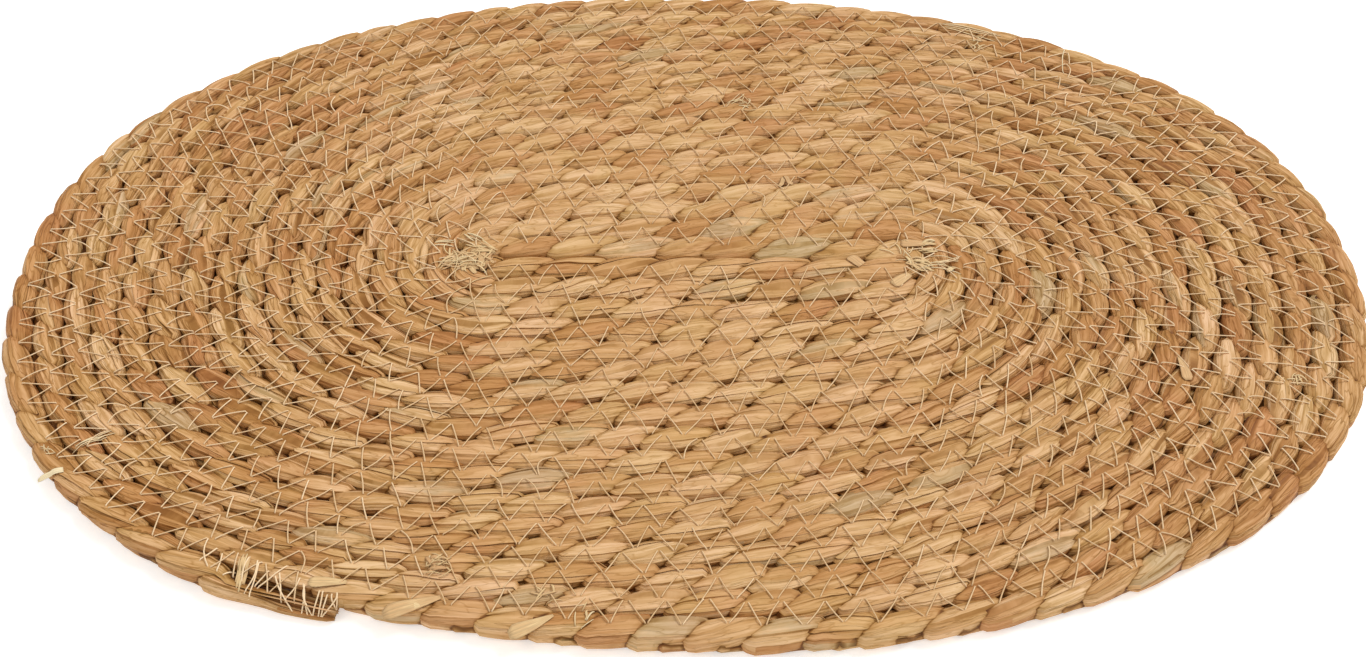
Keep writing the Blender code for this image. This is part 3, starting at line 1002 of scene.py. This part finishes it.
class PLACEMAT_OT_tail_stitches(bpy.types.Operator):
    """Bind the plait's tapered tail to the mat with bunches of stitches"""

    bl_idname = "placemat.tail_stitches"
    bl_label = "Tail stitches"

    POINTS = 12
    SIDES = 6
    PALENESS = 0.85

    def execute(self, context):
        plait, thread, colours = planned()
        coil = plait.coil
        share = np.linspace(0, 1, self.POINTS)
        paths = []
        for inner, first, outer, last, pull in TAIL_STITCHES:
            edge = TAIL_EDGE + float(plait.tail(np.array([coil.total - outer]))[0][0])
            over = last > edge
            last = min(last, edge)
            laps = coil.lap_at(np.minimum(coil.total - inner + (inner - outer) * share, coil.total))
            across = first + (last - first) * share
            plan = coil.points(laps, across)
            plan[:, 0] += pull * np.sin(share * math.pi)
            ground = np.maximum(mat_top(plait, laps, across), STITCH_LEAST_HEIGHT)
            heights = upper_hull(ground[None, :])[0] + thread.diameter * STITCH_OVER
            heights[0] -= FIRST_HOLE_DEPTH
            heights[-1] -= 0.0 if over else TUCK_DEPTHS[0]
            low = EDGE_TUCK_HEIGHTS if over else [heights[-1] - depth for depth in TUCK_DEPTHS]
            tucks = [[*coil.points(laps[-1:], last - inside)[0], z] for inside, z in zip(TUCKS, low)]
            paths.append(np.concatenate([np.column_stack([plan, heights]), tucks]))
        body = tubes(np.array(paths), thread.diameter / 2, self.SIDES)
        pale = np.full(len(body[0]), self.PALENESS)
        new_piece("tail_stitches", body, thread_material(colours), "thread", "thread", pale=pale)
        return {"FINISHED"}


class Surface:
    """The mat's top, for laying loose fibres on it."""

    STEP = 0.0012
    LEAST_HEIGHT = 0.0058

    def __init__(self, plait):
        self.plait = plait
        self.lengths = np.arange(0.0, plait.coil.total, self.STEP)
        self.centre, self.outward, _ = plait.coil.frame_at(self.lengths)
        self.tree = KDTree(len(self.centre))
        for index, (x, y) in enumerate(self.centre.tolist()):
            self.tree.insert((x, y, 0.0), index)
        self.tree.balance()

    def height(self, plan):
        """Height of the mat's top at places in plan."""
        flat = plan.reshape(-1, 2)
        nearest = np.array([self.tree.find((x, y, 0.0))[1] for x, y in flat.tolist()])
        across = np.sum((flat - self.centre[nearest]) * self.outward[nearest], axis=-1)
        height = self.plait.top(self.lengths[nearest], across)
        return np.maximum(height, self.LEAST_HEIGHT).reshape(plan.shape[:-1])


FRAYS_SEED = 921
FIBRE_POINTS = 9
FIBRE_SIDES = 6
LEAF_END_SIDES = 12
MM = 0.001
# How uneven the fibres of a group are: parts of their length and width, and spread of their paleness
LENGTH_RANGE = (0.65, 1.2)
WIDTH_RANGE = (0.7, 1.3)
FIBRE_PALE_SPREAD = 0.12
# A fibre is this thick at most and tapers to this part of its width, and a leaf end is flat
FIBRE_THICKNESS = 0.00028
LEAST_FLATNESS = 0.12
FIBRE_END = 0.6
LEAF_END_THICKNESS = 0.0004
LEAF_END_FLATNESS = 0.10
# A leaf end comes out of the plait at this part of its width, widens at this rate and narrows to its torn end
LEAF_END_START = 0.55
LEAF_END_WIDENING = 3
LEAF_END_POWER = 1.5
# How much of a gap between lobes a fibre spans, and how far to its sides it rests on them, in widths
SPAN_TAUT = 0.6
SPAN_REACH = 0.35

# Loose fibres, in groups. X, Y, width of the group across its heading, scatter, count, length, heading, how
# far it fans out, scatter of the heading, bend, rise, width of a fibre, paleness. Millimetres and degrees
CORE_FRAYS = (
    (-74.0, -2.0, 4, 1.0, 26, 9, 0, 0, 60, 20, -4.2, 2.40, 0.10),
    (-79.0, -3.5, 5, 1.2, 12, 9, 20, 0, 60, 30, 0.3, 1.80, 0.35),
    (-84.5, -2.3, 5, 0.8, 18, 8.5, 40, 22, 8, 25, 0.6, 0.90, 0.36),
    (-73.0, 4.2, 4, 0.6, 14, 8, 165, 26, 6, 40, 0.6, 0.80, 0.35),
    (-77.9, 10.0, 3, 0.4, 5, 7, -40, 6, 4, 20, 1.0, 0.60, 0.75),
    (-78.5, 1.0, 0, 3.2, 34, 7, 10, 0, 60, 80, 0.6, 0.75, 0.28),
    (-80.0, -3.0, 0, 3.5, 7, 15, 20, 0, 50, 80, 1.6, 0.50, 0.60),
    (-76.2, -14.5, 1, 0.2, 1, 21, 37, 0, 0, -20, 1.0, 0.60, 0.75),
    (-88.3, 6.8, 2, 0.3, 3, 10, 3, 4, 0, 10, 0.6, 0.60, 0.80),
    (83.9, -3.9, 3, 1.6, 26, 6.5, -20, 30, 30, 50, 0.6, 0.90, 0.35),
    (87.5, 5.0, 5, 0.5, 12, 6.5, 8, 14, 6, 20, 0.6, 0.85, 0.50),
    (91.0, -3.0, 0, 2.4, 6, 12, 5, 0, 22, 30, 1.0, 0.50, 0.90),
    (78.0, 2.0, 0, 3.0, 8, 6, 0, 0, 60, 80, 1.2, 0.45, 0.60),
)
KNOTS = (
    (-75.9, -138.6, 4, 0.9, 24, 4.2, 20, 0, 70, 40, 1.2, 1.50, -0.05),
    (-75.4, -138.0, 5, 1.3, 18, 5.5, 30, 30, 30, 60, 1.7, 0.50, 0.40),
    (-30.8, -156.4, 0, 1.4, 7, 4.5, 60, 0, 50, 60, 0.8, 0.50, 0.60),
    (-40.8, -149.6, 0, 1.8, 6, 5.0, 10, 0, 40, 60, 0.8, 0.60, 0.35),
    (205.9, -61.3, 0, 1.4, 8, 4.5, 40, 0, 60, 80, 1.0, 0.55, 0.45),
    (21.9, 89.8, 5, 1.4, 11, 5.5, 20, 20, 20, 90, 1.2, 0.50, 0.70),
    (120.8, 132.1, 7, 1.6, 11, 5.0, -10, 0, 50, 110, 1.0, 0.50, 0.55),
    (118.8, 140.8, 3, 0.3, 4, 27, -22, 2, 1, 6, 0.6, 0.55, 0.80),
    (-205.3, -93.6, 0, 1.2, 6, 3.5, 150, 0, 50, 30, 1.6, 0.35, 0.70),
    (-192.4, -88.3, 1.6, 0.3, 5, 12.5, 33, 3, 2, 8, 0.8, 0.45, 1.00),
    (155.2, 119.5, 0, 0.1, 1, 19, -104, 0, 0, 30, 1.6, 0.35, 1.25),
    (-134.2, -140.4, 2.6, 0.15, 7, 10.5, 86, 3, 1, 4, 0.2, 0.75, 0.42),
)
# Torn leaf ends: X, Y, length, width, heading, bend, rise, width at the torn end, paleness
LEAF_ENDS = (
    (60.9, -2.5, 7.5, 4.4, -52, 8, 0.4, 0.8, 0.10),
    (76.4, -12.3, 9.5, 4.8, 41, 10, 0.4, 0.6, 0.22),
    (82.0, 6.4, 9.0, 4.6, -6, 10, 0.4, 0.5, 0.08),
    (94.7, -6.5, 4.0, 2.0, 30, 30, 0.6, 0.7, 0.60),
    (167.6, -56.0, 12.5, 4.0, 96, 12, 0.3, 0.15, 0.12),
    (-45.7, -160.6, 16.0, 6.0, 24, 14, 0.4, 0.15, 0.30),
    (-81.5, -153.5, 20.0, 6.2, 20, 6, 0.3, 0.2, 0.20),
    (-202.5, -102.2, 9.5, 2.6, 19, 4, 0.9, 0.9, 1.25),
    (-107.7, -145.2, 13.0, 4.4, -3, 8, 0.3, 0.3, 0.35),
    (-80.0, -153.5, 6.0, 3.0, 22, 8, 0.4, 0.4, 0.55),
    (36.3, 42.0, 6.5, 1.7, 70, 40, 1.0, 0.9, 0.20),
    (38.6, 42.6, 7.0, 1.7, 118, -50, 1.3, 0.9, 0.10),
)


def trails(run, step):
    """Plans of lines that take steps in the directions of run, laid with their middles at 0."""
    plans = np.cumsum(np.stack([np.cos(run), np.sin(run)], axis=-1) * step, axis=1)
    return plans - plans.mean(axis=1, keepdims=True)


def strewn(rng, rows):
    """Plans, widths, rises and tones of the fibres in each group."""
    share = np.linspace(-0.5, 0.5, FIBRE_POINTS)
    groups = []
    for x, y, group, scatter, count, length, heading, fan, loose, bend, rise, width, pale in rows:
        place = np.linspace(-1, 1, count) if count > 1 else np.zeros(1)
        run = np.radians(heading + fan * place + rng.normal(0, loose, count))[:, None]
        run = run + np.radians(bend * (rng.normal(0, 1, count) if count > 1 else np.ones(1)))[:, None] * share
        plan = trails(run, length * rng.uniform(*LENGTH_RANGE, (count, 1, 1)) / (FIBRE_POINTS - 1))
        side = math.radians(heading) + math.pi / 2
        middle = np.array([x, y]) + np.outer(place * group / 2, (math.cos(side), math.sin(side)))
        middle = middle + rng.normal(0, scatter, (count, 2))
        groups.append((
            (plan + middle[:, None]) * MM,
            width * rng.uniform(*WIDTH_RANGE, count) * MM,
            rise * rng.uniform(0.0, 1.0, count) * MM,
            pale + rng.normal(0, FIBRE_PALE_SPREAD, count),
        ))
    return [np.concatenate(parts) for parts in zip(*groups)]


def lay(surface, plans, widths, thickness, rises):
    """Paths of fibres that lie on the mat's top, a little taut, and lift off it in their middle."""
    reach = (rightward(plans[:, -1] - plans[:, 0]) * widths[:, None] * SPAN_REACH)[:, None]
    ground = np.maximum.reduce([surface.height(plans + reach * k) for k in (-1, 0, 1)])
    taut = blend(ground, upper_hull(ground), SPAN_TAUT)
    share = np.linspace(0, 1, plans.shape[1])
    z = taut + thickness[:, None] / 2 + rises[:, None] * np.sin(share * math.pi)
    return np.concatenate([plans, z[..., None]], axis=-1)


class PLACEMAT_OT_frays(bpy.types.Operator):
    """Add the frayed fibres at the core's ends, the small knots and the torn leaf ends"""

    bl_idname = "placemat.frays"
    bl_label = "Frays and knots"

    def execute(self, context):
        plait, _, colours = planned()
        surface = Surface(plait)
        rng = np.random.default_rng(FRAYS_SEED)
        material = fibre_material(colours)
        share = np.linspace(0, 1, FIBRE_POINTS)
        for name, rows in (("core_frays", CORE_FRAYS), ("knots", KNOTS)):
            plans, widths, rises, tones = strewn(rng, rows)
            flatness = np.clip(FIBRE_THICKNESS / widths, LEAST_FLATNESS, 1.0)
            taper = blend(FIBRE_END, 1.0, np.sin(share * math.pi) ** 0.5)
            paths = lay(surface, plans, widths, widths * flatness, rises)
            body = tubes(paths, widths[:, None] / 2 * taper, FIBRE_SIDES, flatness[:, None])
            pale = np.repeat(tones, FIBRE_POINTS * FIBRE_SIDES)
            new_piece(name, body, material, "rush", "thread", pale=pale)
        columns = (np.array(column, float) for column in zip(*LEAF_ENDS))
        x, y, length, width, heading, bend, rise, torn, pale = columns
        run = np.radians(heading[:, None] + bend[:, None] * (share - 0.5))
        plans = trails(run, (length / FIBRE_POINTS)[:, None, None])
        plans = (plans + np.stack([x, y], axis=-1)[:, None]) * MM
        paths = lay(surface, plans, width * MM, np.full(len(x), LEAF_END_THICKNESS), rise * MM)
        taper = blend(1, torn[:, None], share**LEAF_END_POWER)
        taper = np.minimum(taper, LEAF_END_START + LEAF_END_WIDENING * share)
        body = tubes(paths, width[:, None] / 2 * MM * taper, LEAF_END_SIDES, LEAF_END_FLATNESS)
        pale = np.repeat(pale, FIBRE_POINTS * LEAF_END_SIDES)
        new_piece("torn_leaf_ends", body, material, "rush", "thread", pale=pale)
        return {"FINISHED"}


# The photograph's frame and the camera's place in it, in pixels, degrees and metres

PHOTO_WIDTH_PX = 1366
FOCAL_PX = 1688.7
ELEVATION = 44.75
DISTANCE = 0.5947
AIM_X = -0.0012
AIM_Y = -0.0287
SENSOR_MM = 36.0

FLOOR_SIZE = 6.0
FLOOR_DEPTH = 0.0002
FLOOR_GRAIN = 1 / 150
WORLD_LIGHT = (1.0, 0.985, 0.96, 1.0)
WORLD_STRENGTH = 0.62
# Square soft lights: name, place, size and watts
LIGHTS = (("key", (2.6, 1.6, 3.9), 2.6, 163.0), ("fill", (-1.2, -1.6, 2.8), 2.0, 18.0))


class PLACEMAT_OT_stage(bpy.types.Operator):
    """Set the pale floor, the soft lights and the camera"""

    bl_idname = "placemat.stage"
    bl_label = "Studio stage"

    def execute(self, context):
        scene = context.scene
        scene.view_settings.view_transform = "Standard"
        bpy.ops.mesh.primitive_plane_add(size=FLOOR_SIZE, location=(0, 0, -FLOOR_DEPTH))
        floor = context.object
        floor.name = "floor"
        floor.data.materials.append(floor_material(scene.mat_colours))
        world = bpy.data.worlds.new("soft studio")
        world.use_nodes = True
        world.node_tree.nodes["Background"].inputs["Color"].default_value = WORLD_LIGHT
        world.node_tree.nodes["Background"].inputs["Strength"].default_value = WORLD_STRENGTH
        scene.world = world
        for name, place, size, power in LIGHTS:
            data = bpy.data.lights.new(name, "AREA")
            data.shape = "SQUARE"
            data.size = size
            data.energy = power
            light = bpy.data.objects.new(name, data)
            scene.collection.objects.link(light)
            light.location = place
            light.rotation_euler = (-Vector(place)).to_track_quat("-Z", "Y").to_euler()
        data = bpy.data.cameras.new("camera")
        camera = bpy.data.objects.new("camera", data)
        scene.collection.objects.link(camera)
        tilt = math.radians(ELEVATION)
        camera.location = (AIM_X, AIM_Y - DISTANCE * math.cos(tilt), DISTANCE * math.sin(tilt))
        camera.rotation_euler = (math.pi / 2 - tilt, 0.0, 0.0)
        data.sensor_width = SENSOR_MM
        data.lens = FOCAL_PX * SENSOR_MM / PHOTO_WIDTH_PX
        scene.camera = camera
        return {"FINISHED"}


def floor_material(colours):
    """Opal acrylic sheet lit from below, as on a product light table: nearly white, with hardly a shadow."""
    material, add = new_material("Backlit opal acrylic")
    # Its frosting is far finer than 7 mm, and is drawn as coarse as that so that it shows
    grain = add("TexNoise", {"Scale": FLOOR_SIZE / FLOOR_GRAIN, "Detail": 2.0}, "Fac")
    base = add("ValToRGB", (grain,), stops=((0.3, colours.floor_shade), (0.7, colours.floor)))
    glow = {"Base Color": base, "Emission Color": base, "Emission Strength": 0.50, "Roughness": 0.9}
    add("OutputMaterial", (add("BsdfPrincipled", glow),))
    return material


class PLACEMAT_PT_sidebar(bpy.types.Panel):
    """Lists the placemat's pieces in the sidebar"""

    bl_label = "Rush placemat"
    bl_idname = "PLACEMAT_PT_sidebar"
    bl_space_type = "VIEW_3D"
    bl_region_type = "UI"
    bl_category = "Placemat"

    def draw(self, context):
        for operator in OPERATORS:
            self.layout.operator(operator.bl_idname)
        for group in settings():
            box = self.layout.box()
            for name in type(group).__annotations__:
                box.prop(group, name)


OPERATORS = (
    PLACEMAT_OT_plait, PLACEMAT_OT_seams, PLACEMAT_OT_tail_stitches, PLACEMAT_OT_frays, PLACEMAT_OT_stage,
)
CLASSES = PROPERTY_GROUPS + OPERATORS + (PLACEMAT_PT_sidebar,)


def register():
    for cls in CLASSES:
        bpy.utils.register_class(cls)
    for name, group in zip(PROPERTY_NAMES, PROPERTY_GROUPS):
        setattr(bpy.types.Scene, name, bpy.props.PointerProperty(type=group))


def unregister():
    for name in PROPERTY_NAMES:
        delattr(bpy.types.Scene, name)
    for cls in reversed(CLASSES):
        bpy.utils.unregister_class(cls)


def main():
    register()
    for operator in OPERATORS:
        group, name = operator.bl_idname.split(".")
        getattr(getattr(bpy.ops, group), name)()


if __name__ == "__main__":
    main()
